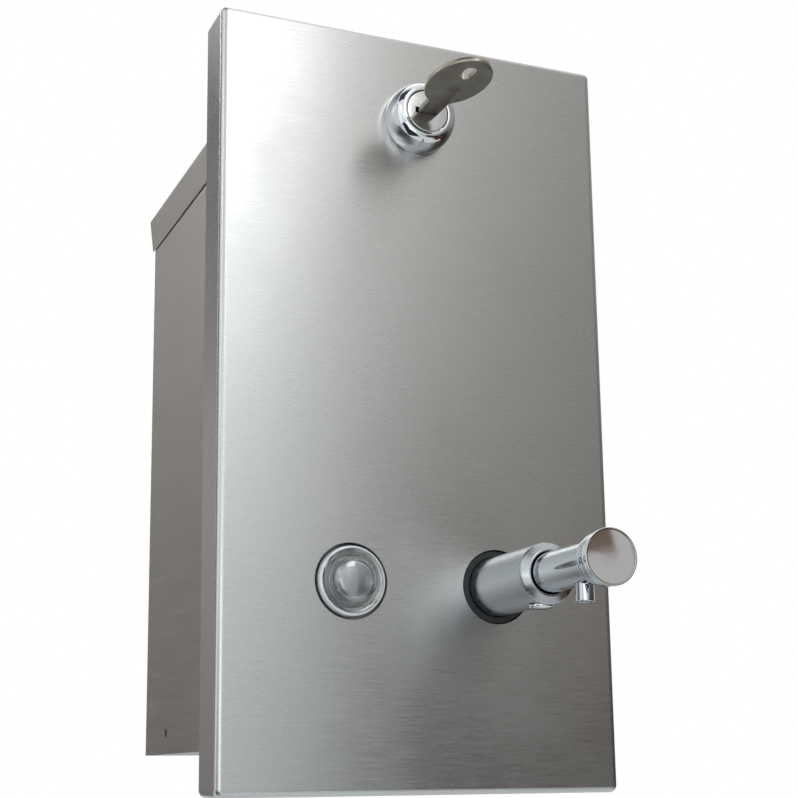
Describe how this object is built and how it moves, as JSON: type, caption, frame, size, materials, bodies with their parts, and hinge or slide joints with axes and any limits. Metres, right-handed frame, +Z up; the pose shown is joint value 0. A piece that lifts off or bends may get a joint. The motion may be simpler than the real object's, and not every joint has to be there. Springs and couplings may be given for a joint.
{
  "type": "built-in soap dispenser",
  "caption": "Recessed steel liquid soap dispenser: lockable brushed cover pan over a wall housing and soap tank, with a round sight window and a push valve with spout.",
  "frame": {"origin": "centre of the outer face of the housing's back panel", "axes": "+X to the right seen from the room, +Y into the wall, +Z up"},
  "size_m": [0.165, 0.2073, 0.3049],
  "materials": {
    "cover_steel": "satin brushed stainless steel, grain running across",
    "body_steel": "dull mill-brushed stainless steel",
    "inner_steel": "plain stainless sheet",
    "chrome": "polished chrome",
    "satin_chrome": "satin chrome",
    "dark_nickel": "nickel plate, darkened by handling",
    "brass": "turned brass",
    "rubber": "black rubber",
    "clear_plastic": "clear moulded plastic",
    "grey_plastic": "dark grey moulded plastic",
    "white_plastic": "white moulded plastic"
  },
  "bodies": {
    "housing": {"housing_shell": "body_steel", "housing_cap": "body_steel", "lock_keeper": "inner_steel", "tank_shelf": "inner_steel", "hanger_rail": "inner_steel", "tank_shell": "inner_steel", "tank_roof": "inner_steel", "tank_hanger": "inner_steel", "lid_pin": "chrome", "window_lens": "clear_plastic", "window_gasket": "rubber", "window_nut": "grey_plastic", "valve_sleeve": "satin_chrome", "valve_body": "brass", "valve_gasket": "rubber", "valve_washer": "rubber", "valve_nut": "brass", "guide_bush": "satin_chrome", "wiper_seal": "rubber", "bush_screw": "chrome", "inlet_cap": "grey_plastic", "inlet_ball": "chrome", "dip_tube": "white_plastic", "return_spring": "inner_steel"},
    "lid": {"filler_lid": "inner_steel"},
    "plunger": {"plunger_tube": "chrome", "plunger_stem": "brass", "piston_seal": "rubber", "outlet_ball": "chrome", "spout_tube": "chrome", "plunger_head": "chrome", "push_button": "chrome"},
    "cover": {"front_cover": "cover_steel", "cover_peg_left": "inner_steel", "cover_peg_right": "inner_steel", "lock_body": "chrome", "lock_nut": "dark_nickel"},
    "lock": {"lock_plug": "satin_chrome", "lock_cam": "inner_steel", "cam_screw": "inner_steel"},
    "key": {"key": "dark_nickel"}
  },
  "joints": [
    {"name": "plunger_push", "type": "slide", "parent": "housing", "child": "plunger", "axis": [0, 1, 0], "range_m": [0, 0.012], "stiffness_N_per_m": 500, "springref_m": -0.008, "deforming": ["return_spring"]},
    {"name": "lid_open", "type": "hinge", "parent": "housing", "child": "lid", "pos_m": [0, -0.049, 0.07585], "axis": [-1, 0, 0], "range_deg": [0, 50]},
    {"name": "cover_off", "type": "slide", "parent": "housing", "child": "cover", "axis": [0, -1, 0], "range_m": [0, 0.12]},
    {"name": "lock_turn", "type": "hinge", "parent": "cover", "child": "lock", "pos_m": [0, -0.12, 0.13025], "axis": [0, -1, 0], "range_deg": [0, 90]},
    {"name": "key_out", "type": "slide", "parent": "lock", "child": "key", "axis": [0, -1, 0], "range_m": [0, 0.03]}
  ]
}
